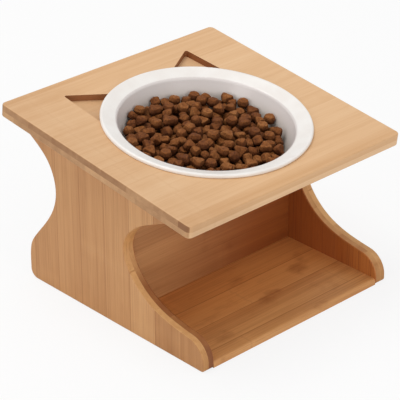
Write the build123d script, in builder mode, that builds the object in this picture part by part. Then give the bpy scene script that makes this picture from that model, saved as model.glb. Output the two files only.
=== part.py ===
from build123d import *
import os
from math import cos, hypot, radians, sin, tan
from random import Random

import numpy as np

# Raised bamboo stand for one cat bowl. Millimetres, +Z up, ground at z = 0.
# The cat eats from the -Y side, where the top board is lower. +X is to the cat's right.

os.makedirs("parts", exist_ok=True)

# Top board, measured in its own tilted plane
BOARD_WIDTH = 210.0
BOARD_DEPTH = 201.0
BOARD_THICKNESS = 10.0
BOARD_TILT = 6.9
BOARD_CENTRE_HEIGHT = 130.5
BOARD_CORNER_RADIUS = 4.0
BOARD_EDGE_RADIUS = 1.2

# Ear-shaped recesses behind the bowl, cut into the upper half of the board.
# Each side of an ear runs from the tip to a bearing on the bowl's axis, where it passes under the lip.
EAR_DEPTH = 5.0
EAR_TIP_ACROSS = 61.0
EAR_TIP_ALONG = 82.5
EAR_TIP_RADIUS = 1.5
EAR_INNER_BEARING = 70.8
EAR_OUTER_BEARING = 24.0
EAR_UNDERCUT = 3.0

# Side panels: an hourglass outline of (y, z) points, the upper ones given as drops below the board
PANEL_INSET = 11.5
PANEL_THICKNESS = 10.0
PANEL_EDGE_RADIUS = 0.8
PANEL_TIP_RADIUS = 1.2
FRONT_FOOT_Y = -100.8
FRONT_TOE_HEIGHT = 20.0
FRONT_TOE_RADIUS = 17.0
FRONT_SOLE_RADIUS = 2.5
FRONT_TOE_LENGTH = 16.8
FRONT_TOE_RISE = 2.2
FRONT_INSTEP = (-60.0, 26.4)
FRONT_ANKLE = (-32.5, 40.6)
FRONT_WAIST = (-18.8, 67.0)
FRONT_SHOULDER_Y = -36.4
FRONT_SHOULDER_DROP = 26.0
FRONT_BROW_Y = -52.6
FRONT_BROW_DROP = 16.0
FRONT_TOP_Y = -90.0
FRONT_TOP_DROP = 2.2
FRONT_TOP_SLOPE = 0.1
REAR_FOOT_Y = 88.0
REAR_HEEL_HEIGHT = 14.0
REAR_SOLE_RADIUS = 7.0
REAR_CALF_INSET = 5.0
REAR_CALF_HEIGHT = 34.4
REAR_ANKLE = (68.5, 52.2)
REAR_WAIST = (55.0, 82.5)
REAR_SHOULDER_Y = 62.6
REAR_SHOULDER_DROP = 23.0
REAR_BROW_Y = 77.5
REAR_BROW_DROP = 12.7
REAR_TOP_Y = 94.0
REAR_TOP_DROP = 5.5
REAR_TOP_SLOPE = 0.45

# Bottom shelf and upright back panel, both between the side panels
SHELF_THICKNESS = 5.0
SHELF_SETBACK = 0.3
SHELF_NOSE_RADIUS = 2.5
BACK_PANEL_FRONT_Y = -9.3
BACK_PANEL_THICKNESS = 10.0
BACK_PANEL_EDGE_RADIUS = 1.0
BACK_PANEL_BOWL_GAP = 5.0

# Glazed bowl: radii from its own axis, heights and depths from the top of the board
BOWL_ALONG = -6.0
LIP_SEAT = 4.5
LIP_HEIGHT = 3.4
LIP_TOP_RADIUS = 1.5
LIP_BOTTOM_RADIUS = 0.8
FLANGE_INNER_RADIUS = 65.2
FLANGE_INNER_DEPTH = 0.8
FLANGE_INNER_ROUNDING = 3.0
NECK_FLARE = 1.7
NECK_DEPTH = 5.0
NECK_ROUNDING = 4.0
CAVITY_DEPTH = 41.0
CAVITY_FLOOR_RADIUS = 50.0
CAVITY_ROUNDING = 36.0
WALL_THICKNESS = 4.5
FOOT_RING_RADIUS = 39.0
FOOT_RING_WIDTH = 5.0
FOOT_RING_HEIGHT = 2.0
FOOT_RING_ROUNDING = 0.8
HOLE_CLEARANCE = 1.0

# Dry food: a settled bed that fills the bottom of the bowl, under a layer of loose pieces
FOOD_EDGE_DEPTH = 11.0
FOOD_CROWN = 3.0
FOOD_LAYER = 15.0
FOOD_CLEARANCE = 0.3

# Loose pieces: six blunt shapes, given by their corners, radii and thicknesses, which narrow towards both faces
PIECE_CORNER_COUNTS = (3, 3, 3, 4, 4, 5)
PIECE_RADII = (7.0, 6.4, 5.8, 5.6, 5.2, 5.2)
PIECE_THICKNESSES = (4.8, 5.6, 6.2, 5.0, 5.8, 4.8)
PIECE_BLUNTING = 2.1
PIECE_TAPER = 20.0
PIECE_GAP = 0.15
PIECE_PEAK = 3.6

# The pour: turned copies of each shape are dropped on a grid, each into the lowest of a few hollows
POUR_STEP = 0.3
POUR_TURNS = 36
POUR_TRIES = 40
POUR_PATIENCE = 500
POUR_HOLLOW = 4.5
POUR_SEED = 4

# Hidden wooden dowels, glued
DOWEL_RADIUS = 3.0
DOWEL_LENGTH = 20.0
DOWEL_IN_FACE = 6.0
DOWEL_CHAMFER = 0.6
DOWEL_CLEARANCE = 0.05
DOWEL_END_GAP = 0.5
TOP_DOWELS_ALONG = (-32.0, 14.0, 60.0)
BACK_DOWEL_INSET = 20.0

# Sizes that follow from the ones above
tilt = radians(BOARD_TILT)
panel_outer_x = BOARD_WIDTH / 2 - PANEL_INSET
panel_inner_x = panel_outer_x - PANEL_THICKNESS
panel_middle_x = panel_outer_x - PANEL_THICKNESS / 2
back_panel_middle_y = BACK_PANEL_FRONT_Y + BACK_PANEL_THICKNESS / 2
dowel_hole_radius = DOWEL_RADIUS + DOWEL_CLEARANCE
hole_in_face = DOWEL_IN_FACE + DOWEL_END_GAP
hole_in_end = DOWEL_LENGTH - DOWEL_IN_FACE + DOWEL_END_GAP

# Planes of the tilted board, and of the bowl's section, whose y direction is the bowl's axis
board_top = Plane(origin=(0, 0, BOARD_CENTRE_HEIGHT), x_dir=(1, 0, 0), z_dir=(0, -sin(tilt), cos(tilt)))
board_underside = board_top.offset(-BOARD_THICKNESS)
bowl_axis = Axis(board_top.from_local_coords((0, BOWL_ALONG, 0)), board_top.z_dir)
bowl_section = Plane(origin=bowl_axis.position, x_dir=(1, 0, 0), z_dir=(0, -cos(tilt), -sin(tilt)))

# Straight part of the bowl's wall, and the bowl's lowest point
wall_run = FLANGE_INNER_RADIUS - CAVITY_FLOOR_RADIUS
wall_rise = CAVITY_DEPTH - FLANGE_INNER_DEPTH
wall_stretch = hypot(wall_run, wall_rise) / wall_rise
bowl_underside_depth = CAVITY_DEPTH + WALL_THICKNESS
bowl_bottom_depth = bowl_underside_depth + FOOT_RING_HEIGHT

# The back panel ends below the bowl, and its dowels keep the same distance from both its ends
bowl_bottom = board_top.from_local_coords((0, BOWL_ALONG, -bowl_bottom_depth))
back_panel_height = bowl_bottom.Z - BACK_PANEL_BOWL_GAP
back_dowel_heights = (BACK_DOWEL_INSET, back_panel_height - BACK_DOWEL_INSET)


def wall_point(depth, outwards=0.0):
    """Return the (radius, height) point of the bowl's inner wall at a depth, moved outwards square to it."""
    radius = CAVITY_FLOOR_RADIUS + (CAVITY_DEPTH - depth) * wall_run / wall_rise
    return (radius + outwards * wall_stretch, -depth)


def under_board(y, drop=0.0):
    """Return the (y, z) point that lies drop below the underside of the board at y."""
    underside_at_middle = BOARD_CENTRE_HEIGHT - BOARD_THICKNESS / cos(tilt)
    return (y, underside_at_middle + y * tan(tilt) - drop)


# The neck is a little wider than the wall, the hole is wider than the neck, and the lip rests round it
neck_radius = wall_point(0, WALL_THICKNESS)[0] + NECK_FLARE
hole_radius = neck_radius + HOLE_CLEARANCE
lip_radius = hole_radius + LIP_SEAT

# Top board with the bowl's hole, the two ears and the holes for the dowels
with BuildPart() as top_board:
    with BuildSketch(board_underside):
        RectangleRounded(BOARD_WIDTH, BOARD_DEPTH, BOARD_CORNER_RADIUS)
    extrude(amount=BOARD_THICKNESS)
    board_faces = faces().sort_by(bowl_axis)
    fillet(board_faces[0].edges() + board_faces[-1].edges(), BOARD_EDGE_RADIUS)
    with BuildSketch(board_top):
        with Locations((0, BOWL_ALONG)):
            Circle(hole_radius)
    extrude(amount=-BOARD_THICKNESS, mode=Mode.SUBTRACT)
    with BuildSketch(board_top) as ears:
        with BuildLine():
            ear_tip = (EAR_TIP_ACROSS, EAR_TIP_ALONG)
            ear_reach = hole_radius - EAR_UNDERCUT
            inner_side = PolarLine((0, BOWL_ALONG), ear_reach, EAR_INNER_BEARING)
            outer_side = PolarLine((0, BOWL_ALONG), ear_reach, EAR_OUTER_BEARING)
            Polyline(inner_side @ 1, ear_tip, outer_side @ 1)
        make_face()
        fillet(ears.vertices().sort_by_distance(ear_tip)[0], EAR_TIP_RADIUS)
        mirror(about=Plane.YZ)
    extrude(amount=-EAR_DEPTH, mode=Mode.SUBTRACT)
    with BuildSketch(board_underside):
        for along in TOP_DOWELS_ALONG:
            with Locations((-panel_middle_x, along), (panel_middle_x, along)):
                Circle(dowel_hole_radius)
    extrude(amount=hole_in_face, mode=Mode.SUBTRACT)

# Right side panel, cut to the slope of the board at the top, and the left one as its mirror image
with BuildPart() as right_side_panel:
    with BuildSketch(Plane.YZ.offset(panel_inner_x)) as panel_outline:
        with BuildLine():
            toe_corner = (FRONT_FOOT_Y, FRONT_TOE_HEIGHT)
            toe_end = (FRONT_FOOT_Y + FRONT_TOE_LENGTH, FRONT_TOE_HEIGHT + FRONT_TOE_RISE)
            front_shoulder = under_board(FRONT_SHOULDER_Y, FRONT_SHOULDER_DROP)
            front_brow = under_board(FRONT_BROW_Y, FRONT_BROW_DROP)
            front_tip = under_board(FRONT_TOP_Y, FRONT_TOP_DROP)
            rear_shoulder = under_board(REAR_SHOULDER_Y, REAR_SHOULDER_DROP)
            rear_brow = under_board(REAR_BROW_Y, REAR_BROW_DROP)
            rear_tip = under_board(REAR_TOP_Y, REAR_TOP_DROP)
            rear_calf = (REAR_FOOT_Y - REAR_CALF_INSET, REAR_CALF_HEIGHT)
            rear_heel = (REAR_FOOT_Y, REAR_HEEL_HEIGHT)
            Spline(
                toe_end, FRONT_INSTEP, FRONT_ANKLE, FRONT_WAIST, front_shoulder, front_brow, front_tip,
                tangents=((FRONT_TOE_LENGTH, FRONT_TOE_RISE), (-1, FRONT_TOP_SLOPE)),
            )
            Polyline(front_tip, under_board(FRONT_TOP_Y), under_board(REAR_TOP_Y), rear_tip)
            Spline(
                rear_tip, rear_brow, rear_shoulder, REAR_WAIST, REAR_ANKLE, rear_calf, rear_heel,
                tangents=((-1, -REAR_TOP_SLOPE), (0, -1)),
            )
            Polyline(rear_heel, (REAR_FOOT_Y, 0), (FRONT_FOOT_Y, 0), toe_corner, toe_end)
        make_face()
        fillet(panel_outline.vertices().sort_by_distance(toe_corner)[0], FRONT_TOE_RADIUS)
        fillet(panel_outline.vertices().sort_by_distance((FRONT_FOOT_Y, 0))[0], FRONT_SOLE_RADIUS)
        fillet(panel_outline.vertices().sort_by_distance((REAR_FOOT_Y, 0))[0], REAR_SOLE_RADIUS)
        for tip in (front_tip, rear_tip):
            fillet(panel_outline.vertices().sort_by_distance(tip)[0], PANEL_TIP_RADIUS)
    extrude(amount=PANEL_THICKNESS)
    outline_edges = faces().filter_by(Axis.X).edges()
    top_edges = faces().sort_by(Axis.Z)[-1].edges()
    fillet(outline_edges - top_edges, PANEL_EDGE_RADIUS)
    with BuildSketch(board_underside):
        for along in TOP_DOWELS_ALONG:
            with Locations((panel_middle_x, along)):
                Circle(dowel_hole_radius)
    extrude(amount=-hole_in_end, mode=Mode.SUBTRACT)
    with BuildSketch(Plane.YZ.offset(panel_inner_x)):
        for height in back_dowel_heights:
            with Locations((back_panel_middle_y, height)):
                Circle(dowel_hole_radius)
    extrude(amount=hole_in_face, mode=Mode.SUBTRACT)

with BuildPart() as left_side_panel:
    mirror(right_side_panel.part, about=Plane.YZ)

# Bowl, turned from one section: floor, rounded wall, sloping flange, lip, neck and foot ring
with BuildPart() as bowl:
    with BuildSketch(bowl_section) as bowl_profile:
        with BuildLine():
            cavity_corner = wall_point(CAVITY_DEPTH)
            flange_inner = wall_point(FLANGE_INNER_DEPTH)
            lip_top = (lip_radius, LIP_HEIGHT)
            lip_bottom = (lip_radius, 0)
            seat_inner = (neck_radius, 0)
            neck = wall_point(NECK_DEPTH, WALL_THICKNESS)
            belly = wall_point(bowl_underside_depth, WALL_THICKNESS)
            Polyline(
                (0, -CAVITY_DEPTH), cavity_corner, flange_inner, lip_top, lip_bottom, seat_inner,
                neck, belly, (0, -bowl_underside_depth), close=True,
            )
        make_face()
        for corner, radius in (
            (cavity_corner, CAVITY_ROUNDING),
            (belly, CAVITY_ROUNDING + WALL_THICKNESS),
            (flange_inner, FLANGE_INNER_ROUNDING),
            (lip_top, LIP_TOP_RADIUS),
            (lip_bottom, LIP_BOTTOM_RADIUS),
            (neck, NECK_ROUNDING),
        ):
            fillet(bowl_profile.vertices().sort_by_distance(corner)[0], radius)
    revolve(axis=bowl_axis)
    with BuildSketch(board_top.offset(-bowl_bottom_depth)):
        with Locations((0, BOWL_ALONG)):
            Circle(FOOT_RING_RADIUS)
            Circle(FOOT_RING_RADIUS - FOOT_RING_WIDTH, mode=Mode.SUBTRACT)
    extrude(amount=FOOT_RING_HEIGHT + WALL_THICKNESS)
    fillet(faces().sort_by(bowl_axis)[0].edges(), FOOT_RING_ROUNDING)

# Settled food, clear of the wall at its sides and flat on the floor of the bowl.
# It is the whole heap less the layer of loose pieces, and both have the same crown.
heap_edge = wall_point(FOOD_EDGE_DEPTH, -FOOD_CLEARANCE)
with BuildPart() as kibble:
    with BuildSketch(bowl_section) as heap_profile:
        with BuildLine():
            heap_corner = wall_point(CAVITY_DEPTH, -FOOD_CLEARANCE)
            Polyline((0, 0), (0, -CAVITY_DEPTH), heap_corner, heap_edge, (0, 0))
        make_face()
        fillet(heap_profile.vertices().sort_by_distance(heap_corner)[0], CAVITY_ROUNDING - FOOD_CLEARANCE)
        with BuildLine():
            bed_crown = (0, FOOD_CROWN - FOOD_EDGE_DEPTH - FOOD_LAYER)
            bed_edge = (heap_edge[0], heap_edge[1] - FOOD_LAYER)
            TangentArc(bed_crown, bed_edge, tangent=(1, 0))
            Polyline(bed_edge, (heap_edge[0], 0), (0, 0), bed_crown)
        make_face(mode=Mode.SUBTRACT)
    revolve(axis=bowl_axis)

# Shapes of the loose pieces
piece_forms = []
for corners, radius, thickness in zip(PIECE_CORNER_COUNTS, PIECE_RADII, PIECE_THICKNESSES, strict=True):
    with BuildPart() as piece_form:
        with BuildSketch() as piece_outline:
            RegularPolygon(radius, corners)
            chamfer(piece_outline.vertices(), PIECE_BLUNTING)
        extrude(amount=thickness / 2, both=True, taper=PIECE_TAPER)
    piece_forms.append(piece_form.part)


def heap_height(radii):
    """Return the heap's height at radii from the bowl's axis, measured from the top of the board."""
    return FOOD_CROWN * (1 - (radii / heap_edge[0]) ** 2) - FOOD_EDGE_DEPTH


def cavity_height(radii):
    """Return the height of the bowl's inner side at radii from its axis, less the food's clearance."""
    centre_radius, centre_height = wall_point(CAVITY_DEPTH - CAVITY_ROUNDING, -CAVITY_ROUNDING)
    rounding = CAVITY_ROUNDING - FOOD_CLEARANCE
    beyond = radii - centre_radius
    rounded = centre_height - np.sqrt(np.maximum(rounding**2 - beyond**2, 0))
    straight = (radii - heap_edge[0]) * wall_rise / wall_run - FOOD_EDGE_DEPTH
    return np.where(beyond < rounding / wall_stretch, rounded, straight)


def grid(cells):
    """Return the places of a square grid, so many cells each way from its middle."""
    steps = np.arange(-cells, cells + 1) * POUR_STEP
    return np.meshgrid(steps, steps, indexing="ij")


def sides_of(piece):
    """Return heights of a piece's lower and upper side over a grid, grown by the gap, and nan beside it."""
    size = piece.bounding_box()
    across, along = grid(int(max(abs(size.min.X), size.max.X, abs(size.min.Y), size.max.Y) / POUR_STEP) + 1)
    lower = np.full(across.shape, -np.inf)
    upper = np.full(across.shape, np.inf)
    for side in piece.faces():
        outward = side.normal_at()
        ahead = outward.dot(side.center()) + PIECE_GAP - across * outward.X - along * outward.Y
        if abs(outward.Z) < 0.001:
            lower[ahead < 0] = np.inf
        elif outward.Z < 0:
            lower = np.maximum(lower, ahead / outward.Z)
        else:
            upper = np.minimum(upper, ahead / outward.Z)
    beside = lower > upper
    return np.where(beside, np.nan, lower), np.where(beside, np.nan, upper)


def pour():
    """Drop turned pieces on the bed until none fits under the peak, and return them in the bowl's own place."""
    chance = Random(POUR_SEED)
    turned = []
    for form in piece_forms:
        for _ in range(POUR_TURNS):
            spin = Rotation(0, 0, chance.uniform(0, 360)) * Rotation(chance.triangular(0, 180, 0), 0, 0)
            turn = spin * Rotation(0, 0, chance.uniform(0, 360))
            turned.append((form, turn, *sides_of(form.moved(turn))))
    widest = max(len(lower) for _, _, lower, _ in turned)
    middle = int(heap_edge[0] / POUR_STEP) + widest
    radii = np.hypot(*grid(middle))
    heap = heap_height(radii)
    ground = np.maximum(heap - FOOD_LAYER, cavity_height(radii))
    poured = []
    misses = 0
    while misses < POUR_PATIENCE:
        drops = []
        hollows = np.argwhere(heap - ground > POUR_HOLLOW)
        for _ in range(POUR_TRIES):
            form, turn, lower, upper = chance.choice(turned)
            column, row = (int(place) for place in chance.choice(hollows))
            reach = len(lower) // 2
            below = ground[column - reach:column + reach + 1, row - reach:row + reach + 1]
            height = float(np.nanmax(below - lower))
            peak = height + float(np.nanmax(upper)) - heap[column, row]
            drops.append((peak, len(drops), form, turn, column, row, below, height + upper, height))
        peak, _, form, turn, column, row, below, top, height = min(drops)
        if peak > PIECE_PEAK * chance.random():
            misses += 1
            continue
        np.fmax(below, top, out=below)
        place = Pos((column - middle) * POUR_STEP, BOWL_ALONG + (row - middle) * POUR_STEP, height)
        poured.append(form.moved(board_top.location * place * turn))
        misses = 0
    return poured


# Loose pieces, each a solid of its own that rests on the bed, the wall or its neighbours
kibble_pieces = Compound(children=pour())

# Back panel, which stands on the ground behind the shelf and ends below the foot of the bowl
with BuildPart() as back_panel:
    with BuildSketch(Plane.XY):
        with Locations((0, back_panel_middle_y)):
            Rectangle(2 * panel_inner_x, BACK_PANEL_THICKNESS)
    extrude(amount=back_panel_height)
    fillet(faces().sort_by(Axis.Z)[-1].edges().filter_by(Axis.X), BACK_PANEL_EDGE_RADIUS)
    for side in (-1, 1):
        with BuildSketch(Plane.YZ.offset(side * panel_inner_x)):
            for height in back_dowel_heights:
                with Locations((back_panel_middle_y, height)):
                    Circle(dowel_hole_radius)
        extrude(amount=-side * hole_in_end, mode=Mode.SUBTRACT)

# Shelf, flat on the ground and butted against the back panel
with BuildPart() as shelf:
    with BuildSketch(Plane.YZ) as shelf_profile:
        shelf_front_y = FRONT_FOOT_Y + SHELF_SETBACK
        with BuildLine():
            nose = (shelf_front_y, SHELF_THICKNESS)
            Polyline(
                nose, (shelf_front_y, 0), (BACK_PANEL_FRONT_Y, 0), (BACK_PANEL_FRONT_Y, SHELF_THICKNESS),
                close=True,
            )
        make_face()
        fillet(shelf_profile.vertices().sort_by_distance(nose)[0], SHELF_NOSE_RADIUS)
    extrude(amount=panel_inner_x, both=True)

# Dowels between the board and the side panels
with BuildPart() as top_dowels:
    with BuildSketch(board_underside.offset(DOWEL_IN_FACE)):
        for along in TOP_DOWELS_ALONG:
            with Locations((-panel_middle_x, along), (panel_middle_x, along)):
                Circle(DOWEL_RADIUS)
    extrude(amount=-DOWEL_LENGTH)
    chamfer(edges().filter_by(GeomType.CIRCLE), DOWEL_CHAMFER)

# Dowels between the side panels and the back panel
with BuildPart() as back_dowels:
    for side in (-1, 1):
        with BuildSketch(Plane.YZ.offset(side * (panel_inner_x + DOWEL_IN_FACE))):
            for height in back_dowel_heights:
                with Locations((back_panel_middle_y, height)):
                    Circle(DOWEL_RADIUS)
        extrude(amount=-side * DOWEL_LENGTH)
    chamfer(edges().filter_by(GeomType.CIRCLE), DOWEL_CHAMFER)

# Each piece is labelled with its name and written to its own file
pieces = {
    "top_board": top_board.part,
    "left_side_panel": left_side_panel.part,
    "right_side_panel": right_side_panel.part,
    "back_panel": back_panel.part,
    "shelf": shelf.part,
    "bowl": bowl.part,
    "kibble": kibble.part,
    "kibble_pieces": kibble_pieces,
    "top_dowels": top_dowels.part,
    "back_dowels": back_dowels.part,
}
for name, piece in pieces.items():
    piece.label = name
    export_step(piece, f"parts/{name}.step")
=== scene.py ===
"""Elevated cat feeder: finishes, dry food, floor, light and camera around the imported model.

Lengths are metres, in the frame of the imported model: +Z is up, -Y is the low, open front.
"""
import logging
import math
import random
from dataclasses import dataclass
from enum import Enum

import bpy
import numpy as np
from mathutils import Matrix, Vector

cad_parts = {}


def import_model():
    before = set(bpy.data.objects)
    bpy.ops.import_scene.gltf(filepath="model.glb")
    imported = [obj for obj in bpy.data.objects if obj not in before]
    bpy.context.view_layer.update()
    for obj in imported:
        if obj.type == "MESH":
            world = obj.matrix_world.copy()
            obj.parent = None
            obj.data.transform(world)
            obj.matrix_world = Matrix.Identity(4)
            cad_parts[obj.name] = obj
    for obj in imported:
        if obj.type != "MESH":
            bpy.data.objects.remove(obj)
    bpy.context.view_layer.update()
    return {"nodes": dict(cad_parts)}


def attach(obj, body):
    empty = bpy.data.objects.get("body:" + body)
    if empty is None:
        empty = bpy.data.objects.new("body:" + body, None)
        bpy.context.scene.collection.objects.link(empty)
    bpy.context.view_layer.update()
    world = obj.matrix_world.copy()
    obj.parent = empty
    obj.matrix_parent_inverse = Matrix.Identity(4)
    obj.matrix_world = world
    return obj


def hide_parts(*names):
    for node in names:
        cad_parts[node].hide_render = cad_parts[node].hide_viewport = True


log = logging.getLogger("cat_feeder")

Colour = tuple[float, float, float, float]
Place = tuple[float, float, float]
Pair = tuple[float, float]
Nodes = dict[str, bpy.types.Object]

# The top board: how far it leans towards the cat, and the height of its top's middle above the ground
BOARD_TILT = math.radians(6.9)
BOARD_MIDDLE_HEIGHT = 0.1305

# Sockets of the Mix node for colours
MIX_SHARE = 0
MIX_FIRST = 6
MIX_SECOND = 7
MIX_RESULT = 2


def tint(red: int, green: int, blue: int) -> Colour:
    """Turn a colour as a screen shows it into the linear one that shaders take.

    Args:
        red: red from 0 to 255.
        green: green from 0 to 255.
        blue: blue from 0 to 255.

    Returns:
        The linear colour with full opacity.
    """
    def linear(level: int) -> float:
        """Undo the screen's curve for one channel."""
        share = level / 255
        return share / 12.92 if share <= 0.04045 else ((share + 0.055) / 1.055) ** 2.4

    return linear(red), linear(green), linear(blue), 1.0


class Axis(Enum):
    """An axis of a board, by its place in a vector."""

    X = 0
    Y = 1
    Z = 2


class Signal:
    """The output of a shader node, which takes part in Python arithmetic."""

    def __init__(self, graph: "Graph", socket: bpy.types.NodeSocket) -> None:
        """Keep the graph and the socket.

        Args:
            graph: the graph that the socket belongs to.
            socket: an output socket.
        """
        self.graph = graph
        self.socket = socket

    def maths(self, operation: str, *terms: "Signal | float") -> "Signal":
        """Add a Math node that starts from this signal.

        Args:
            operation: the node's operation.
            terms: the other inputs, in order.

        Returns:
            The result.
        """
        return self.graph.add("ShaderNodeMath", {"operation": operation}, dict(enumerate((self, *terms))))

    def __add__(self, other: "Signal | float") -> "Signal":
        """Sum of two signals."""
        return self.maths("ADD", other)

    def __sub__(self, other: "Signal | float") -> "Signal":
        """Difference of two signals."""
        return self.maths("SUBTRACT", other)

    def __rsub__(self, other: float) -> "Signal":
        """A number less this signal."""
        return self.graph.add("ShaderNodeMath", {"operation": "SUBTRACT"}, {0: other, 1: self})

    def __mul__(self, other: "Signal | float") -> "Signal":
        """Product of two signals."""
        return self.maths("MULTIPLY", other)

    def __truediv__(self, other: "Signal | float") -> "Signal":
        """Quotient of two signals."""
        return self.maths("DIVIDE", other)

    __radd__ = __add__
    __rmul__ = __mul__

    def floor(self) -> "Signal":
        """The whole number below."""
        return self.maths("FLOOR")

    def fraction(self) -> "Signal":
        """The part above the whole number below."""
        return self.maths("FRACT")

    def size(self) -> "Signal":
        """The value without its sign."""
        return self.maths("ABSOLUTE")

    def over(self, limit: "Signal | float") -> "Signal":
        """One where the signal is over a limit, else zero."""
        return self.maths("GREATER_THAN", limit)

    def under(self, limit: "Signal | float") -> "Signal":
        """One where the signal is under a limit, else zero."""
        return self.maths("LESS_THAN", limit)

    def smooth(self, low: float, high: float, below: float, above: float) -> "Signal":
        """Go smoothly from one value to another.

        Args:
            low: where on the signal the change starts.
            high: where it ends.
            below: the value up to there.
            above: the value from there on.

        Returns:
            The eased signal.
        """
        return self.graph.add("ShaderNodeMapRange", {"interpolation_type": "SMOOTHSTEP"},
                              {"Value": self, "From Min": low, "From Max": high,
                               "To Min": below, "To Max": above})

    def ease(self, low: float, high: float) -> "Signal":
        """Rise smoothly from zero at the low value to one at the high value."""
        return self.smooth(low, high, 0.0, 1.0)

    def fade(self, low: float, high: float) -> "Signal":
        """Fall smoothly from one at the low value to zero at the high value."""
        return self.smooth(low, high, 1.0, 0.0)


class Graph:
    """The node graph of one material."""

    def __init__(self, name: str) -> None:
        """Make an empty material.

        Args:
            name: the material's name.
        """
        self.material = bpy.data.materials.new(name)
        self.material.use_nodes = True
        self.tree = self.material.node_tree
        self.tree.nodes.clear()

    def add(self, kind: str, settings: dict | None = None, inputs: dict | None = None,
            output: int | str = 0) -> Signal:
        """Add a node, set it up and feed it.

        Args:
            kind: the node's type.
            settings: its settings, with "stops" for a colour ramp's stops.
            inputs: values or signals by socket name or number.
            output: the socket that is returned.

        Returns:
            The chosen output.
        """
        node = self.tree.nodes.new(kind)
        for key, value in (settings or {}).items():
            if key == "stops":
                stops = node.color_ramp.elements
                while len(stops) < len(value):
                    stops.new(0.5)
                for stop, (place, colour) in zip(stops, value):
                    stop.position = place
                    stop.color = colour
            else:
                setattr(node, key, value)
        for key, value in (inputs or {}).items():
            if isinstance(value, Signal):
                self.tree.links.new(value.socket, node.inputs[key])
            else:
                node.inputs[key].default_value = value
        return Signal(self, node.outputs[output])

    def coordinate(self, name: str) -> Signal:
        """One of the outputs of a Texture Coordinate node."""
        return self.add("ShaderNodeTexCoord", output=name)

    def on_board(self, place: Signal) -> Signal:
        """Turn a place into the frame of the tilted top board.

        Args:
            place: a place in the object's frame.

        Returns:
            The place from the middle of the board's top, with Z along the board's normal.
        """
        back = -BOARD_MIDDLE_HEIGHT * math.sin(BOARD_TILT)
        down = -BOARD_MIDDLE_HEIGHT * math.cos(BOARD_TILT)
        return self.add("ShaderNodeMapping", {}, {"Vector": place, "Rotation": (-BOARD_TILT, 0.0, 0.0),
                                                   "Location": (0.0, back, down)})

    def parts(self, vector: Signal) -> list[Signal]:
        """Split a vector.

        Args:
            vector: the vector's signal.

        Returns:
            Its three parts.
        """
        first = self.add("ShaderNodeSeparateXYZ", {}, {0: vector})
        return [Signal(self, socket) for socket in first.socket.node.outputs]

    def vector(self, x: Signal | float, y: Signal | float, z: Signal | float) -> Signal:
        """Join three numbers to a vector."""
        return self.add("ShaderNodeCombineXYZ", {}, {0: x, 1: y, 2: z})

    def blend(self, share: Signal | float, first: Signal | Colour, second: Signal | Colour,
              how: str = "MIX") -> Signal:
        """Mix two colours.

        Args:
            share: how much of the second colour there is.
            first: the first colour.
            second: the second colour.
            how: the way in which they blend.

        Returns:
            The mixed colour.
        """
        return self.add("ShaderNodeMix", {"data_type": "RGBA", "blend_type": how, "clamp_factor": True},
                        {MIX_SHARE: share, MIX_FIRST: first, MIX_SECOND: second}, MIX_RESULT)

    def multiply(self, first: Signal, second: Signal | Colour) -> Signal:
        """Multiply two colours channel by channel."""
        return self.blend(1.0, first, second, "MULTIPLY")

    def ramp(self, share: Signal, *stops: tuple[float, Colour]) -> Signal:
        """Colour a signal by a ramp.

        Args:
            share: the signal.
            stops: pairs of place and colour.

        Returns:
            The colour.
        """
        return self.add("ShaderNodeValToRGB", {"stops": stops}, {0: share})

    def steps(self, share: Signal, *stops: tuple[float, Colour]) -> Signal:
        """Colour a signal by a ramp that jumps from stop to stop.

        Args:
            share: the signal.
            stops: pairs of place and colour, where each colour holds up to the next place.

        Returns:
            The colour.
        """
        jump = self.ramp(share, *stops)
        jump.socket.node.color_ramp.interpolation = "CONSTANT"
        return jump

    def noise(self, where: Signal, scale: float = 1.0, detail: float = 2.0,
              roughness: float = 0.5) -> Signal:
        """Smooth noise from zero to one.

        Args:
            where: the place that it is read at.
            scale: how fine it is.
            detail: how many finer layers it has.
            roughness: how strong those are.

        Returns:
            The noise.
        """
        return self.add("ShaderNodeTexNoise", {}, {"Vector": where, "Scale": scale, "Detail": detail,
                                                    "Roughness": roughness})

    def cells(self, where: Signal, scale: float) -> Signal:
        """Distance to the nearest of many scattered points, in widths of a cell."""
        return self.add("ShaderNodeTexVoronoi", {}, {"Vector": where, "Scale": scale})

    def chance(self, number: Signal) -> Signal:
        """A random value from zero to one for each whole number."""
        return self.add("ShaderNodeTexWhiteNoise", {"noise_dimensions": "1D"}, {"W": number})

    def surface(self, colour: Signal, roughness: Signal, height: Signal, depth: float,
                **constants: float) -> bpy.types.Material:
        """Finish the material with one glossy shader.

        Args:
            colour: base colour.
            roughness: roughness.
            height: height of the fine relief, from zero to one.
            depth: depth of that relief in metres.
            constants: fixed values of the shader, with _ for a space in their names.

        Returns:
            The finished material.
        """
        relief = self.add("ShaderNodeBump", {}, {"Height": height, "Distance": depth, "Strength": 1.0})
        fixed = {key.replace("_", " "): value for key, value in constants.items()}
        shader = self.add("ShaderNodeBsdfPrincipled", {}, {"Base Color": colour, "Roughness": roughness,
                                                            "Normal": relief} | fixed)
        self.add_output(shader)
        return self.material

    def add_output(self, shader: Signal) -> None:
        """Lead a shader to the material's output."""
        node = self.tree.nodes.new("ShaderNodeOutputMaterial")
        self.tree.links.new(shader.socket, node.inputs["Surface"])


@dataclass(frozen=True)
class BoardSpot:
    """Where on a board a point lies.

    xyz is its place in the board's frame, and facing the way its surface looks. lane is its place across,
    counted in strips, strip is the number of its strip, and second_ply is one in the lower or inner ply.
    """

    graph: Graph
    xyz: list[Signal]
    facing: list[Signal]
    along: Signal
    across: Signal
    depth: Signal
    second_ply: Signal
    lane: Signal
    strip: Signal


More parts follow.
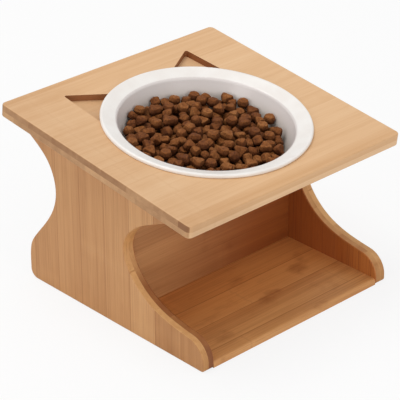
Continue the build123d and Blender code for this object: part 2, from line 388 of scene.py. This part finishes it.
@dataclass(frozen=True)
class Strands:
    """Noise that is drawn out along the strips, with its scales per metre and a shift for each strip."""

    along: float
    across: float
    shift_along: float = 0.0
    shift_through: float = 0.0
    detail: float = 2.0
    roughness: float = 0.5

    def read(self, spot: BoardSpot) -> Signal:
        """Read the noise.

        Args:
            spot: the point that it is read at.

        Returns:
            The noise.
        """
        where = spot.graph.vector(spot.along * self.along + spot.strip * self.shift_along,
                                  spot.across * self.across,
                                  spot.depth * self.across + spot.strip * self.shift_through)
        return spot.graph.noise(where, detail=self.detail, roughness=self.roughness)


@dataclass(frozen=True)
class Grain:
    """What the wood shows at a point.

    broad, fibre and streaks are noise. The others are masks: a dark streak or thread, the seam between
    two strips, a knuckle of the cane, the pale halo round it, the sawn end of a strip, and a pore there.
    """

    broad: Signal
    fibre: Signal
    streaks: Signal
    streak: Signal
    thread: Signal
    seam: Signal
    knuckle: Signal
    halo: Signal
    end: Signal
    pore: Signal


@dataclass(frozen=True)
class Weights:
    """How much each mark of the wood adds to the base of a value, such as its roughness."""

    base: float
    fibre: float = 0.0
    streaks: float = 0.0
    seam: float = 0.0
    knuckle: float = 0.0
    end: float = 0.0
    pores: float = 0.0

    def total(self, grain: Grain) -> Signal:
        """Add the marks to the base.

        Args:
            grain: the marks.

        Returns:
            The sum.
        """
        value = grain.fibre * self.fibre + self.base
        marks = ((grain.streaks, self.streaks), (grain.seam, self.seam), (grain.knuckle, self.knuckle),
                 (grain.end, self.end), (grain.end * grain.pore, self.pores))
        for mark, weight in marks:
            if weight:
                value = value + mark * weight
        return value


@dataclass(frozen=True)
class Bamboo:
    """Board of bamboo strips, glued side by side and in two plies.

    Places and widths are metres in the board's frame, and a span says where a change starts and ends.
    Tones go from 0 for dark to 1 for pale, and a strength says how far a mark goes to the deep colour.
    """

    name: str
    deep: Colour
    middle: Colour
    pale: Colour
    along: Axis
    across: Axis
    through: Axis
    seed: float
    strip_start: float
    strip_contrast: float
    smudge_strength: float
    tilted: bool = False

    # strips, whose tones are drawn or, where they are listed, counted from the first strip
    strip_width: float = 0.0263
    strip_tones: tuple[float, ...] = ()
    first_strip: int = 0
    drawn_share: float = 0.1
    step_nudge: float = 0.001
    seam_width: float = 0.0006
    seam_strength: float = 0.25

    # plies, where a seam below every point leaves a single one, and the shift is counted in strips
    ply_seam: float = -1.0
    ply_shift: float = 0.37
    ply_tone: float = 0.0

    # what is added to a strip's number, so that each ply, panel and use draws its own chances
    ply_number: float = 19.0
    right_number: float = 41.0
    knuckle_number: float = 77.0
    end_number: float = 31.0

    # grain, with scales per metre
    broad_noise: Strands = Strands(5.0, 150.0, shift_along=3.7)
    fibre_noise: Strands = Strands(18.0, 850.0, shift_along=1.3, detail=3.0, roughness=0.6)
    streak_noise: Strands = Strands(38.0, 2100.0, shift_through=1.0)
    streak_span: Pair = (0.56, 0.72)
    streak_strength: float = 0.3
    thread_noise: Strands = Strands(6.0, 620.0, shift_along=2.1, detail=3.0, roughness=0.6)
    thread_span: Pair = (0.5, 0.7)
    thread_strength: float = 0.3
    smudge_scales: Pair = (38.0, 55.0)
    smudge_span: Pair = (0.56, 0.8)

    # knuckles of the cane, which wander along the strips and differ from strip to strip
    knuckle_start: float = 0.0
    knuckle_spacing: float = 0.21
    knuckle_spread: float = 0.9
    knuckle_strength: float = 0.14
    knuckle_span: Pair = (0.0002, 0.0016)
    halo_span: Pair = (0.001, 0.009)
    wander_scales: Pair = (260.0, 200.0)
    wander_reach: float = 0.005

    # lightness of the faces, its shares, and where on it the three colours stand
    grain_share: float = 0.85
    fibre_share: float = 0.3
    halo_share: float = 0.06
    darkening: float = 0.12
    colour_stops: tuple[float, float, float] = (0.05, 0.5, 0.92)

    # sawn ends, which are darker in the upper ply where they lie in front of the dark end
    end_dark: Colour = tint(122, 76, 40)
    end_pale: Colour = tint(196, 146, 92)
    end_span: Pair = (0.55, 0.8)
    end_tone: float = 0.2
    end_strip_contrast: float = 0.4
    end_grain_contrast: float = 0.6
    end_ply_tone: float = 0.3
    dark_end: float = -1.0
    dark_end_strength: float = 0.5
    pore_scale: float = 1300.0
    pore_span: Pair = (0.12, 0.42)
    pore_strength: float = 0.35

    # painted light and shade over the board, as a gain at each end of the span that changes slowly between
    # them
    light_drift_axis: Axis = Axis.X
    light_drift_span: Pair = (-0.1, 0.1)
    light_drift_from: Colour = (1.0, 1.0, 1.0, 1.0)
    light_drift_to: Colour = (1.0, 1.0, 1.0, 1.0)

    # oiled surface
    roughness: Weights = Weights(base=0.5, fibre=0.12, knuckle=-0.05, end=0.1)
    relief: Weights = Weights(base=0.8, fibre=0.35, streaks=0.25, seam=-0.7, knuckle=-0.15, pores=-0.4)
    relief_depth: float = 0.00006
    coat: float = 0.06
    coat_roughness: float = 0.3
    refraction: float = 1.48

    def read_spot(self, g: Graph) -> BoardSpot:
        """Read where on the board a point lies.

        Args:
            g: the material's graph.

        Returns:
            The point's signals. A side panel's depth counts from the middle of the stand, and the right
            panel has strips of its own.
        """
        place = g.coordinate("Object")
        facing = g.parts(g.coordinate("Normal"))
        xyz = g.parts(g.on_board(place) if self.tilted else place)
        along, across, through = (xyz[axis.value] for axis in (self.along, self.across, self.through))
        is_side = self.through is Axis.X
        depth = through.size() if is_side else through
        second_ply = depth.under(self.ply_seam)
        lane = (across - self.strip_start) / self.strip_width + second_ply * self.ply_shift
        strip = lane.floor() + second_ply * self.ply_number + self.seed
        if is_side:
            strip = strip + through.over(0.0) * self.right_number
        return BoardSpot(g, xyz, facing, along, across, depth, second_ply, lane, strip)

    def read_grain(self, spot: BoardSpot) -> Grain:
        """Read what the wood shows at a point.

        Args:
            spot: the point.

        Returns:
            The marks of the wood.
        """
        g = spot.graph
        streaks = self.streak_noise.read(spot)
        from_middle = (spot.lane.fraction() - 0.5).size()
        from_knuckle = self.knuckle_distance(spot)
        pores = g.cells(g.vector(spot.across, spot.depth, 0.0), self.pore_scale)
        return Grain(
            broad=self.broad_noise.read(spot),
            fibre=self.fibre_noise.read(spot),
            streaks=streaks,
            streak=streaks.ease(*self.streak_span),
            thread=self.thread_noise.read(spot).ease(*self.thread_span),
            seam=from_middle.ease(0.5 - self.seam_width / self.strip_width, 0.5),
            knuckle=from_knuckle.fade(*self.knuckle_span),
            halo=from_knuckle.fade(*self.halo_span),
            end=spot.facing[self.along.value].size().ease(*self.end_span),
            pore=pores.fade(*self.pore_span))

    def knuckle_distance(self, spot: BoardSpot) -> Signal:
        """Measure how far away the nearest knuckle of the cane is.

        Args:
            spot: the point that it is measured from.

        Returns:
            The distance along the strip.
        """
        g = spot.graph
        across_scale, depth_scale = self.wander_scales
        wander = g.noise(g.vector(spot.across * across_scale, spot.depth * depth_scale, spot.strip)) - 0.5
        lap = (spot.along - self.knuckle_start + wander * self.wander_reach) / self.knuckle_spacing
        own = g.chance(spot.strip + self.knuckle_number) - 0.5
        lap = lap + own * self.knuckle_spread + 0.5
        return (lap.fraction() - 0.5).size() * self.knuckle_spacing

    def strip_tone(self, spot: BoardSpot) -> Signal:
        """Give each strip its tone, drawn or mostly from the list.

        Args:
            spot: the point.

        Returns:
            The tone of the strip that it lies on.
        """
        drawn = spot.graph.chance(spot.strip)
        if not self.strip_tones:
            return drawn
        count = len(self.strip_tones)
        stops = [((number + self.step_nudge) / count, (level, level, level, 1.0))
                 for number, level in enumerate(self.strip_tones)]
        listed = spot.graph.steps((spot.lane - self.first_strip) / count, *stops)
        return drawn * self.drawn_share + listed

    def face_colour(self, spot: BoardSpot, grain: Grain) -> Signal:
        """Colour the faces that run along the strips.

        Args:
            spot: the point.
            grain: what the wood shows there.

        Returns:
            The colour.
        """
        g = spot.graph
        light = self.strip_tone(spot) * self.strip_contrast
        light = light + grain.broad * (self.grain_share - self.strip_contrast)
        light = light + grain.fibre * self.fibre_share - self.darkening
        light = light + spot.second_ply * self.ply_tone + grain.halo * self.halo_share
        colour = g.ramp(light, *zip(self.colour_stops, (self.deep, self.middle, self.pale)))
        along_scale, across_scale = self.smudge_scales
        where = g.vector(spot.along * along_scale, spot.across * across_scale,
                         spot.depth * across_scale + self.seed)
        smudge = g.noise(where, detail=3.0).ease(*self.smudge_span)
        for mark, strength in ((grain.streak, self.streak_strength), (grain.thread, self.thread_strength),
                               (smudge, self.smudge_strength), (grain.knuckle, self.knuckle_strength),
                               (grain.seam, self.seam_strength)):
            colour = g.blend(mark * strength, colour, self.deep)
        return colour

    def end_colour(self, spot: BoardSpot, grain: Grain) -> Signal:
        """Colour the sawn ends, where the pores show.

        Args:
            spot: the point.
            grain: what the wood shows there.

        Returns:
            The colour.
        """
        g = spot.graph
        light = g.chance(spot.strip + self.end_number) * self.end_strip_contrast
        light = light + (grain.broad - 0.5) * self.end_grain_contrast
        light = light + spot.second_ply * self.end_ply_tone + self.end_tone
        front = spot.across.under(self.dark_end) * (1.0 - spot.second_ply)
        light = light - front * self.dark_end_strength
        colour = g.blend(light, self.end_dark, self.end_pale)
        return g.blend(grain.pore * self.pore_strength, colour, self.end_dark)

    def touch_up(self, spot: BoardSpot, grain: Grain, colour: Signal) -> Signal:
        """Leave the colour as it is, where a kind of board has nothing of its own to add."""
        return colour

    def make(self) -> bpy.types.Material:
        """Build the board's material.

        Returns:
            The material.
        """
        g = Graph(self.name)
        spot = self.read_spot(g)
        grain = self.read_grain(spot)
        colour = g.blend(grain.end, self.face_colour(spot, grain), self.end_colour(spot, grain))
        # painted light and shade: a gain that changes slowly across the board
        far = spot.xyz[self.light_drift_axis.value].ease(*self.light_drift_span)
        colour = g.multiply(colour, g.blend(far, self.light_drift_from, self.light_drift_to))
        return g.surface(self.touch_up(spot, grain, colour), self.roughness.total(grain),
                         self.relief.total(grain), self.relief_depth, Coat_Weight=self.coat,
                         Coat_Roughness=self.coat_roughness, IOR=self.refraction)


@dataclass(frozen=True)
class CutBamboo(Bamboo):
    """Bamboo of the top board, darker on the walls of the hole and the ears and on the ears' floors."""

    cut_reach: Pair = (0.1, 0.096)
    wall: Colour = tint(134, 72, 26)
    wall_share: float = 0.85
    wall_span: Pair = (0.3, 0.7)
    floor_share: float = 0.4
    floor_span: Pair = (-0.004, -0.0025)

    def touch_up(self, spot: BoardSpot, grain: Grain, colour: Signal) -> Signal:
        """Darken the walls of the cuts and the floors of the ears.

        Args:
            spot: the point.
            grain: what the wood shows there; not used here.
            colour: its colour so far.

        Returns:
            The colour.
        """
        reach_x, reach_y = self.cut_reach
        within = spot.xyz[0].size().under(reach_x) * spot.xyz[1].size().under(reach_y)
        upright = spot.facing[2].size().fade(*self.wall_span)
        below = spot.xyz[2].fade(*self.floor_span)
        colour = spot.graph.blend(within * upright * self.wall_share, colour, self.wall)
        return spot.graph.blend(within * below * (1.0 - upright) * self.floor_share, colour, self.deep)


@dataclass(frozen=True)
class SideBamboo(Bamboo):
    """Bamboo of a side panel, with painted warm shade on its inner face, deeper towards the back, and
    paler along its curved edge.
    """

    inwards_limit: float = -0.02
    # painted warm shade on the inner face, from its front colour to a deeper one at the back, with the
    # grain's marks in a darker colour
    inner_shade_share: float = 0.9
    inner_shade_front: Colour = tint(196, 118, 52)
    inner_shade_back: Colour = tint(165, 84, 20)
    inner_shade_span: Pair = (-0.09, -0.055)
    inner_shade_mark: Colour = tint(124, 54, 10)
    inner_grain: float = 0.4
    inner_threads: float = 0.6
    inner_streaks: float = 0.4
    edge_span: Pair = (0.3, 0.7)
    edge_gain: Colour = (1.18, 1.22, 1.16, 1.0)
    low_ply_gain: Colour = (0.62, 0.44, 0.28, 1.0)
    low_ply_span: Pair = (0.035, 0.06)

    def touch_up(self, spot: BoardSpot, grain: Grain, colour: Signal) -> Signal:
        """Paint warm shade on the inner face, deeper towards the back, and lighten the edge but for the
        left panel's inner ply low down.

        Args:
            spot: the point.
            grain: what the wood shows there.
            colour: its colour so far.

        Returns:
            The colour.
        """
        g = spot.graph
        x, y, z = spot.xyz
        inwards = (spot.facing[0] * x).under(self.inwards_limit)
        marks = grain.broad * self.inner_grain + grain.thread * self.inner_threads
        marks = marks + grain.streak * self.inner_streaks
        # painted warm shade on the inner face, deeper towards the back
        inner = g.blend(marks, g.blend(y.ease(*self.inner_shade_span), self.inner_shade_front, self.inner_shade_back),
                        self.inner_shade_mark)
        colour = g.blend(inwards * self.inner_shade_share, colour, inner)
        edge = spot.facing[0].size().fade(*self.edge_span)
        low_ply = spot.second_ply * z.fade(*self.low_ply_span) * x.under(0.0)
        gain = g.blend(low_ply, self.edge_gain, self.low_ply_gain)
        return g.blend(edge, colour, g.multiply(colour, gain))


@dataclass(frozen=True)
class Glaze:
    """White glaze over fired clay with a bare foot, painted shade on the hollow's wall and a painted food
    reflection low in it.
    """

    name: str = "white_glaze"
    white: Colour = tint(242, 238, 233)
    shade: Colour = tint(237, 231, 225)
    # inner: painted shade of the hollow's steep wall
    inner: Colour = tint(224, 216, 212)
    clay: Colour = tint(205, 192, 172)
    pool_scale: float = 55.0
    pool_span: Pair = (0.35, 0.7)
    ripple_scale: float = 160.0
    speck_scale: float = 1400.0
    speck_span: Pair = (0.74, 0.8)
    speck_strength: float = 0.3
    foot_span: Pair = (-0.0474, -0.0468)
    steep_span: Pair = (0.75, 0.9)
    # painted warm reflection of the food, low in the hollow
    food_reflection_span: Pair = (-0.02, -0.004)
    food_reflection_strength: float = 0.6
    roughness: float = 0.26
    pool_roughness: float = 0.06
    foot_roughness: float = 0.4
    ripple_height: float = 0.7
    speck_height: float = 0.2
    relief_depth: float = 0.00005
    coat: float = 0.25
    coat_roughness: float = 0.16
    refraction: float = 1.5

    def make(self) -> bpy.types.Material:
        """Build the glaze.

        Returns:
            The material.
        """
        g = Graph(self.name)
        place = g.coordinate("Object")
        across, along, height = g.parts(g.on_board(place))
        facing = g.parts(g.coordinate("Normal"))
        pooled = g.noise(place, self.pool_scale, detail=3.0)
        ripple = g.noise(place, self.ripple_scale)
        specks = g.noise(place, self.speck_scale, detail=1.0).ease(*self.speck_span)
        foot = height.fade(*self.foot_span)
        steep = facing[2].size().fade(*self.steep_span)
        # painted shade on the steep walls that face the bowl's middle, with a painted warm reflection of
        # the food low on them
        hollow = (across * facing[0] + along * facing[1]).under(0.0) * steep
        food_reflection = height.fade(*self.food_reflection_span) * self.food_reflection_strength
        colour = g.blend(pooled.ease(*self.pool_span), self.white, self.shade)
        colour = g.blend(hollow, colour, g.blend(food_reflection, self.inner, self.clay))
        colour = g.blend(specks * self.speck_strength, colour, self.clay)
        colour = g.blend(foot, colour, self.clay)
        roughness = self.roughness + pooled * self.pool_roughness + foot * self.foot_roughness
        relief = ripple * self.ripple_height + specks * self.speck_height
        return g.surface(colour, roughness, relief, self.relief_depth, Coat_Weight=self.coat,
                         Coat_Roughness=self.coat_roughness, IOR=self.refraction)


@dataclass(frozen=True)
class BakedFood:
    """Baked dry food, pocked, with painted light on the tops and painted shade on the sides, each piece
    with its own tone.
    """

    name: str = "dry_food"
    dark: Colour = tint(76, 33, 9)
    brown: Colour = tint(124, 71, 30)
    toast: Colour = tint(170, 114, 66)
    colour_stops: tuple[float, float, float] = (0.1, 0.45, 0.85)
    tone_share: float = 0.25
    crumb_scale: float = 700.0
    crumb_share: float = 0.7
    patch_scale: float = 220.0
    patch_share: float = 0.5
    darkening: float = 0.3
    pock_scale: float = 900.0
    pock_span: Pair = (0.1, 0.45)
    pock_strength: float = 0.45
    # painted light on faces that look up and painted shade on those that look sideways or down
    top_light_span: Pair = (-0.2, 1.0)
    side_shade_gain: Colour = (0.46, 0.38, 0.25, 1.0)
    top_light_gain: Colour = (1.15, 1.16, 1.1, 1.0)
    roughness: float = 0.62
    crumb_roughness: float = 0.2
    crumb_height: float = 0.7
    pock_depth: float = 0.6
    relief_depth: float = 0.0007
    refraction: float = 1.45
    shine: float = 0.25

    def make(self) -> bpy.types.Material:
        """Build the food's finish.

        Returns:
            The material.
        """
        g = Graph(self.name)
        place = g.coordinate("Object")
        tone = g.add("ShaderNodeAttribute", {"attribute_name": "tone"}, {}, "Fac")
        crumb = g.noise(place, self.crumb_scale, detail=3.0, roughness=0.65)
        patch = g.noise(place, self.patch_scale)
        pocks = g.cells(place, self.pock_scale).fade(*self.pock_span)
        light = tone * self.tone_share + crumb * self.crumb_share
        light = light + patch * self.patch_share - self.darkening
        colour = g.ramp(light, *zip(self.colour_stops, (self.dark, self.brown, self.toast)))
        colour = g.blend(pocks * self.pock_strength, colour, self.dark)
        # painted light on the pieces' tops and painted shade on their sides
        upwards = g.parts(g.coordinate("Normal"))[2].ease(*self.top_light_span)
        colour = g.multiply(colour, g.blend(upwards, self.side_shade_gain, self.top_light_gain))
        relief = crumb * self.crumb_height - pocks * self.pock_depth + self.pock_depth
        return g.surface(colour, self.roughness + crumb * self.crumb_roughness, relief, self.relief_depth,
                         IOR=self.refraction, Specular_IOR_Level=self.shine)


@dataclass(frozen=True)
class BareWood:
    """Plain turned wood of the dowels, with its grain along Z."""

    name: str = "dowel_wood"
    pale: Colour = tint(214, 182, 138)
    deep: Colour = tint(172, 132, 88)
    grain_across: float = 500.0
    grain_along: float = 60.0
    grain_span: Pair = (0.3, 0.7)
    roughness: float = 0.6
    grain_roughness: float = 0.1
    relief_depth: float = 0.00005

    def make(self) -> bpy.types.Material:
        """Build the dowels' finish.

        Returns:
            The material.
        """
        g = Graph(self.name)
        x, y, z = g.parts(g.coordinate("Object"))
        where = g.vector(x * self.grain_across, y * self.grain_across, z * self.grain_along)
        grain = g.noise(where, detail=3.0)
        colour = g.blend(grain.ease(*self.grain_span), self.pale, self.deep)
        return g.surface(colour, self.roughness + grain * self.grain_roughness, grain, self.relief_depth)


def put_on(piece: bpy.types.Object, material: bpy.types.Material) -> None:
    """Give every slot of a piece one material.

    Args:
        piece: a mesh piece.
        material: the finish.
    """
    if not piece.material_slots:
        piece.data.materials.append(material)
    for place in piece.material_slots:
        place.material = material


def select_nothing() -> None:
    """Leave edit mode and clear the selection."""
    if bpy.context.object and bpy.context.object.mode != "OBJECT":
        bpy.ops.object.mode_set(mode="OBJECT")
    bpy.ops.object.select_all(action="DESELECT")


@dataclass
class Stand:
    """The bamboo stand: its solids keep their shape and get their finish.

    The strips' widths are measured across a board. The seams between plies are places in its thickness:
    from the top board's upper face, from the middle of the stand for a side panel, and from Y = 0 for
    the back panel.
    """

    nodes: Nodes
    top_strip_width: float = 0.0263
    side_strip_width: float = 0.0265
    back_strip_width: float = 0.0262
    shelf_strip_width: float = 0.0263
    top_ply_seam: float = -0.005
    side_ply_seam: float = 0.0885
    back_ply_seam: float = -0.0043

    def top_bamboo(self) -> Bamboo:
        """Choose the top board's bamboo, with its strips along X.

        Returns:
            The finish.
        """
        # painted shade: the top board gets darker towards -X
        return CutBamboo(
            "bamboo_top", tint(202, 150, 97), tint(224, 180, 134), tint(234, 196, 153),
            Axis.X, Axis.Y, Axis.Z, seed=5.0, tilted=True,
            strip_start=-0.0895, strip_width=self.top_strip_width, strip_contrast=0.3, seam_strength=0.16,
            ply_seam=self.top_ply_seam, ply_tone=0.25, thread_strength=0.12, smudge_strength=0.24,
            knuckle_start=-0.085, knuckle_spread=0.12, dark_end=-0.0895, end_dark=tint(146, 98, 58),
            end_pale=tint(212, 166, 118), light_drift_span=(-0.1, -0.02), light_drift_from=(0.9, 0.89, 0.88, 1.0),
            light_drift_to=(1.0, 1.02, 1.04, 1.0))

    def side_bamboo(self) -> Bamboo:
        """Choose the side panels' bamboo, with its strips upright.

        Returns:
            The finish.
        """
        return SideBamboo(
            "bamboo_side", tint(160, 104, 54), tint(196, 143, 91), tint(212, 163, 110),
            Axis.Z, Axis.Y, Axis.X, seed=9.0,
            strip_start=-0.0515, strip_width=self.side_strip_width, strip_contrast=0.4,
            seam_strength=0.75, strip_tones=(0.05, 0.05, 0.95, 0.5, 0.42, 0.55, 0.35, 0.4), first_strip=-2,
            ply_seam=self.side_ply_seam, ply_tone=-0.1, thread_strength=0.4, smudge_strength=0.2,
            knuckle_start=0.06, knuckle_spacing=0.24, knuckle_strength=0.04, end_ply_tone=-0.2,
            end_dark=tint(176, 120, 72), end_pale=tint(236, 190, 132))

    def back_bamboo(self) -> Bamboo:
        """Choose the back panel's bamboo, with its strips along X.

        Returns:
            The finish.
        """
        # painted light at the back panel's -X end and deep orange painted shade towards +X
        return Bamboo(
            "bamboo_back", tint(140, 84, 38), tint(180, 124, 70), tint(200, 146, 92),
            Axis.X, Axis.Z, Axis.Y, seed=2.0,
            strip_start=0.009, strip_width=self.back_strip_width, strip_contrast=0.3,
            ply_seam=self.back_ply_seam, smudge_strength=0.6,
            light_drift_span=(-0.085, 0.06), light_drift_from=(1.35, 1.5, 1.9, 1.0), light_drift_to=(0.7, 0.42, 0.2, 1.0))

    def shelf_bamboo(self) -> Bamboo:
        """Choose the shelf's bamboo, of one ply with its strips along X.

        Returns:
            The finish.
        """
        # painted shade: the shelf gets darker and more orange towards the back
        return Bamboo(
            "bamboo_shelf", tint(148, 90, 40), tint(204, 150, 92), tint(220, 172, 114),
            Axis.X, Axis.Y, Axis.Z, seed=14.0,
            strip_start=-0.089, strip_width=self.shelf_strip_width, strip_contrast=0.2, seam_strength=0.8,
            smudge_strength=0.7, light_drift_axis=Axis.Y, light_drift_span=(-0.09, -0.04),
            light_drift_from=(1.06, 0.98, 0.92, 1.0), light_drift_to=(1.02, 0.8, 0.6, 1.0))

    def dress(self) -> None:
        """Give each board its own bamboo and the dowels their wood."""
        finishes = (self.top_bamboo(), self.side_bamboo(), self.back_bamboo(), self.shelf_bamboo())
        top, side, back, shelf = (finish.make() for finish in finishes)
        wood = BareWood().make()
        worn = {"top_board": top, "left_side_panel": side, "right_side_panel": side, "back_panel": back,
                "shelf": shelf, "top_dowels": wood, "back_dowels": wood}
        for name, material in worn.items():
            put_on(self.nodes[name], material)
            log.info("%s: dressed in %s", name, material.name)


@dataclass
class Bowl:
    """The ceramic bowl: its solid keeps its shape and gets its glaze."""

    nodes: Nodes

    def dress(self) -> None:
        """Glaze the bowl."""
        put_on(self.nodes["bowl"], Glaze().make())
        log.info("bowl: glazed")


def islands(data: bpy.types.Mesh) -> list[int]:
    """Number the separate pieces of a mesh.

    Args:
        data: the mesh.

    Returns:
        For every vertex, the number of a vertex that stands for its piece.
    """
    ends = np.empty(2 * len(data.edges), dtype=np.int64)
    data.edges.foreach_get("vertices", ends)
    first, second = ends.reshape(-1, 2).T
    label = np.arange(len(data.vertices))
    while True:
        least = np.minimum(label[first], label[second])
        renewed = label.copy()
        np.minimum.at(renewed, first, least)
        np.minimum.at(renewed, second, least)
        if (renewed == label).all():
            return label.tolist()
        label = renewed


@dataclass
class DryFood:
    """The dry food: the solids' loose pieces, rounded and uneven, over the settled bed.

    The rounding is in hundredths of each edge, and the swelling makes up for what it takes away.
    """

    nodes: Nodes
    merge_distance: float = 0.00001
    flat_angle: float = math.radians(2.0)
    rounding: float = 12.0
    swelling: float = 0.00045
    unevenness: float = 0.00025
    seed: int = 4

    def copy_solids(self) -> bpy.types.Object:
        """Copy the loose pieces' solids, with their place in the mesh.

        Returns:
            The copy, as the only selected object and the active one.
        """
        select_nothing()
        solid = self.nodes["kibble_pieces"]
        pieces = solid.copy()
        pieces.data = solid.data.copy()
        for key in list(pieces.keys()):
            del pieces[key]
        pieces.name = "dry_food_pieces"
        pieces.parent = None
        pieces.matrix_world = solid.matrix_world.copy()
        bpy.context.scene.collection.objects.link(pieces)
        pieces.select_set(True)
        bpy.context.view_layer.objects.active = pieces
        bpy.ops.object.transform_apply(location=True, rotation=True, scale=True)
        return pieces

    def round_off(self, pieces: bpy.types.Object) -> None:
        """Round the edges of the pieces, and make them uneven.

        Args:
            pieces: the pieces, as the active object.
        """
        bpy.ops.object.mode_set(mode="EDIT")
        bpy.ops.mesh.select_all(action="SELECT")
        bpy.ops.mesh.remove_doubles(threshold=self.merge_distance)
        bpy.ops.mesh.dissolve_limited(angle_limit=self.flat_angle)
        bpy.ops.mesh.bevel(offset_type="PERCENT", offset_pct=self.rounding, segments=1, affect="EDGES")
        bpy.ops.transform.vertex_random(offset=self.unevenness, seed=self.seed)
        bpy.ops.mesh.normals_make_consistent(inside=False)
        bpy.ops.transform.shrink_fatten(value=self.swelling)
        bpy.ops.object.mode_set(mode="OBJECT")
        bpy.ops.object.shade_smooth()
        bpy.ops.object.modifier_add(type="WEIGHTED_NORMAL")
        bpy.ops.object.modifier_apply(modifier=pieces.modifiers[0].name)

    def give_tones(self, pieces: bpy.types.Object) -> None:
        """Give each piece its own tone, as an attribute that the finish reads.

        Args:
            pieces: the pieces.
        """
        chance = random.Random(self.seed)
        label = islands(pieces.data)
        tones = {number: chance.random() for number in sorted(set(label))}
        tone = pieces.data.attributes.new("tone", "FLOAT", "POINT")
        tone.data.foreach_set("value", np.array([tones[number] for number in label], np.float32))
        log.info("dry food: %d pieces, %d faces", len(tones), len(pieces.data.polygons))

    def build(self) -> None:
        """Make the loose pieces and dress them, and paint shade on the bed under them with a much darker
        finish.
        """
        pieces = self.copy_solids()
        self.round_off(pieces)
        self.give_tones(pieces)
        pieces.data.materials.clear()
        pieces.data.materials.append(BakedFood().make())
        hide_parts("kibble_pieces")
        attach(pieces, "bowl_and_food")
        # painted shade: the bed under the pieces is much darker than the food, for the shade in the gaps
        # between them
        settled = BakedFood("settled_food", tint(34, 17, 9), tint(58, 31, 17), tint(84, 50, 28))
        put_on(self.nodes["kibble"], settled.make())


@dataclass(frozen=True)
class Lamp:
    """A round soft lamp, with its place and width in metres and its power in watts."""

    name: str
    place: Place
    width: float
    power: float

    def hang(self, aim: Place) -> None:
        """Hang the lamp.

        Args:
            aim: the place that it is turned to.
        """
        lamp = bpy.data.lights.new(self.name, "AREA")
        lamp.shape = "DISK"
        lamp.size = self.width
        lamp.energy = self.power
        hung = bpy.data.objects.new(self.name, lamp)
        hung.location = self.place
        hung.rotation_euler = (Vector(aim) - Vector(self.place)).to_track_quat("-Z", "Y").to_euler()
        bpy.context.scene.collection.objects.link(hung)


@dataclass
class Studio:
    """Pale floor, soft light and the camera, with angles in radians and the lens in millimetres."""

    floor_size: float = 16.0
    floor_drop: float = 0.0002
    floor_colour: Colour = (0.88, 0.88, 0.88, 1.0)
    white: Colour = (1.0, 1.0, 1.0, 1.0)
    white_share: float = 0.82
    lamps: tuple[Lamp, ...] = (Lamp("sky_lamp", (-0.3, 0.5, 1.9), width=1.2, power=12.5),
                               Lamp("front_lamp", (-0.2, -1.9, 0.8), width=1.0, power=6.0),
                               Lamp("left_lamp", (-1.9, -0.2, 0.8), width=1.0, power=6.0))
    lamp_aim: Place = (0.0, 0.0, 0.08)
    room_light: float = 0.64
    camera_place: Place = (-0.87195, -0.92417, 0.72952)
    camera_heading: float = 0.75553
    camera_dip: float = 0.48279
    camera_roll: float = -0.003
    lens: float = 174.57
    sensor_width: float = 36.0
    near_limit: float = 0.05

    def floor(self) -> None:
        """Lay the floor, which shows as near white and keeps the object's shadow."""
        select_nothing()
        bpy.ops.mesh.primitive_plane_add(size=self.floor_size, location=(0.0, 0.0, -self.floor_drop))
        floor = bpy.context.object
        floor.name = "floor"
        g = Graph("floor_white")
        matt = g.add("ShaderNodeBsdfDiffuse", {}, {"Color": self.floor_colour})
        glow = g.add("ShaderNodeEmission", {}, {"Color": self.white, "Strength": 1.0})
        share = g.add("ShaderNodeLightPath", output="Is Camera Ray") * self.white_share
        g.add_output(g.add("ShaderNodeMixShader", {}, {0: share, 1: matt, 2: glow}))
        floor.data.materials.append(g.material)

    def light(self) -> None:
        """Hang the soft lamps and set the room's own light."""
        for lamp in self.lamps:
            lamp.hang(self.lamp_aim)
        world = bpy.data.worlds.new("room")
        world.use_nodes = True
        back = world.node_tree.nodes["Background"]
        back.inputs["Color"].default_value = self.white
        back.inputs["Strength"].default_value = self.room_light
        bpy.context.scene.world = world

    def camera(self) -> None:
        """Set the camera where the photograph was taken from."""
        data = bpy.data.cameras.new("camera")
        data.lens = self.lens
        data.sensor_width = self.sensor_width
        data.clip_start = self.near_limit
        camera = bpy.data.objects.new("camera", data)
        turn = (Matrix.Rotation(-self.camera_heading, 4, "Z")
                @ Matrix.Rotation(math.pi / 2 - self.camera_dip, 4, "X")
                @ Matrix.Rotation(self.camera_roll, 4, "Z"))
        camera.matrix_world = Matrix.Translation(self.camera_place) @ turn
        bpy.context.scene.collection.objects.link(camera)
        bpy.context.scene.camera = camera

    def build(self) -> None:
        """Set up the floor, the lamps and the camera."""
        self.floor()
        self.light()
        self.camera()
        bpy.context.scene.view_settings.view_transform = "Standard"
        log.info("studio: floor, %d lamps and camera set", len(self.lamps))


def main() -> None:
    """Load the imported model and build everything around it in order."""
    logging.basicConfig(level=logging.INFO, format="%(name)s: %(message)s")
    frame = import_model()
    select_nothing()
    Studio().build()
    Stand(frame["nodes"]).dress()
    Bowl(frame["nodes"]).dress()
    DryFood(frame["nodes"]).build()
    log.info("sizes written")


if __name__ == "__main__":
    main()
